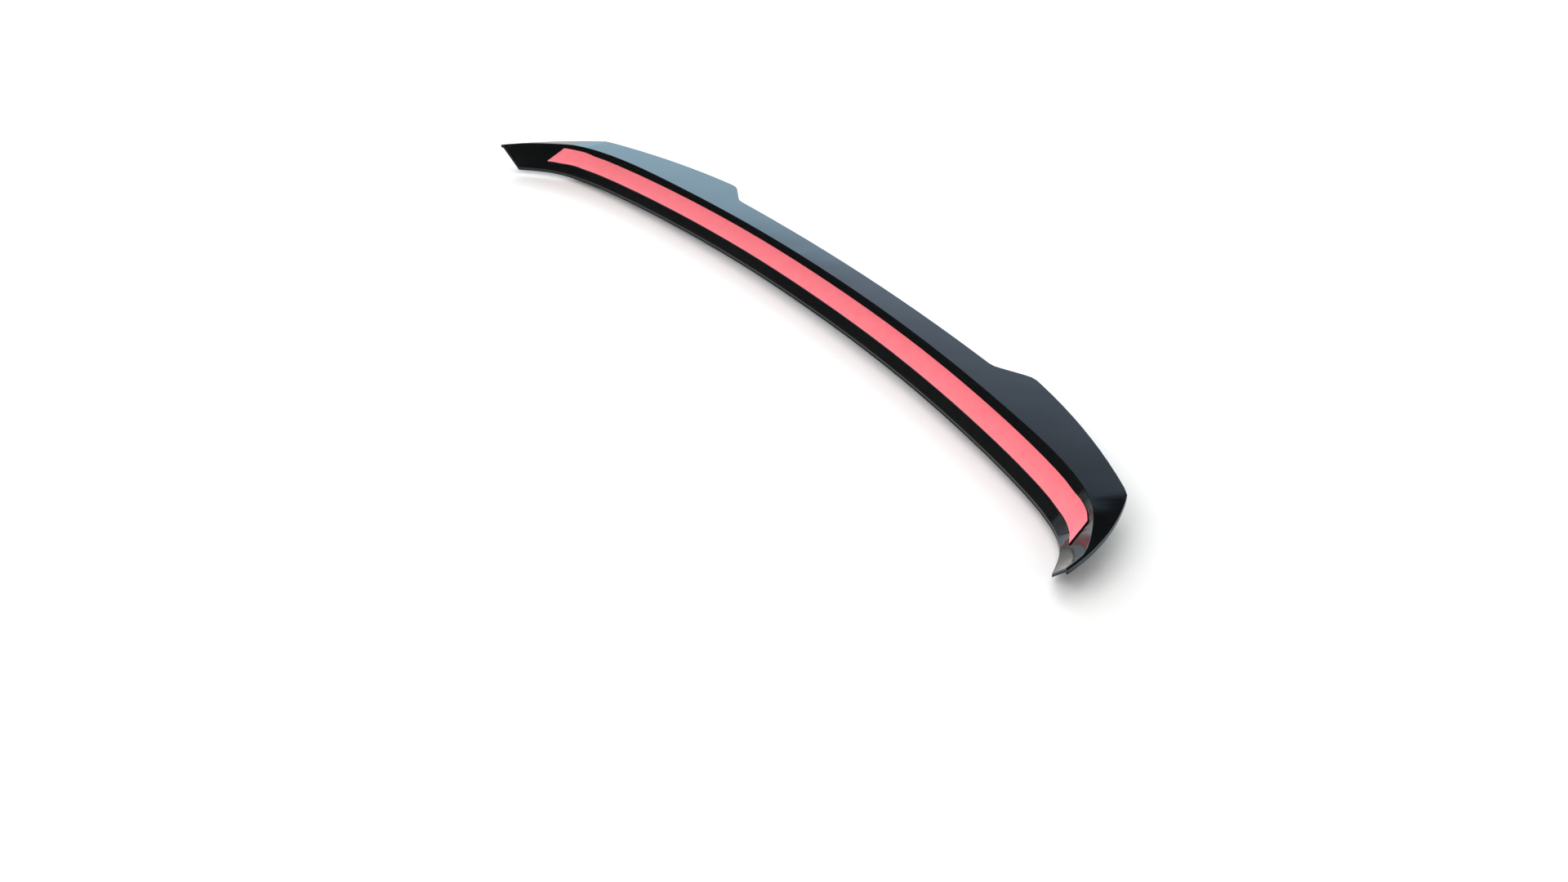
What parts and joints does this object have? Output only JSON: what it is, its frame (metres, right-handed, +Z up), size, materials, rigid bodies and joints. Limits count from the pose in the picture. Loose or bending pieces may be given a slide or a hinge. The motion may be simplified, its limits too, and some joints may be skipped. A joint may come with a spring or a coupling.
{
  "type": "rear spoiler trailing-edge cap",
  "caption": "Gloss black bonded cap for the trailing edge of a rear wing or spoiler, with a pink-filmed tape band.",
  "frame": {"origin": "middle of the part's width and depth, on the flat underside of the trailing lip", "axes": "+X across the car to the right, +Y rearward, +Z up, with the part as it is bonded to the car"},
  "size_m": [1.2, 0.1934, 0.0374],
  "materials": {
    "black_abs": "gloss",
    "seam_adhesive": "satin",
    "core_foam": "matte",
    "foam_tape": "matte",
    "liner_film": "satin"
  },
  "bodies": {
    "root": {"upper_skin": "black_abs", "lower_skin": "black_abs", "front_seam_adhesive": "seam_adhesive", "rear_seam_adhesive": "seam_adhesive", "foam_core_centre": "core_foam", "foam_core_left": "core_foam", "foam_core_right": "core_foam", "mounting_tape": "foam_tape", "release_liner": "liner_film"}
  },
  "joints": []
}
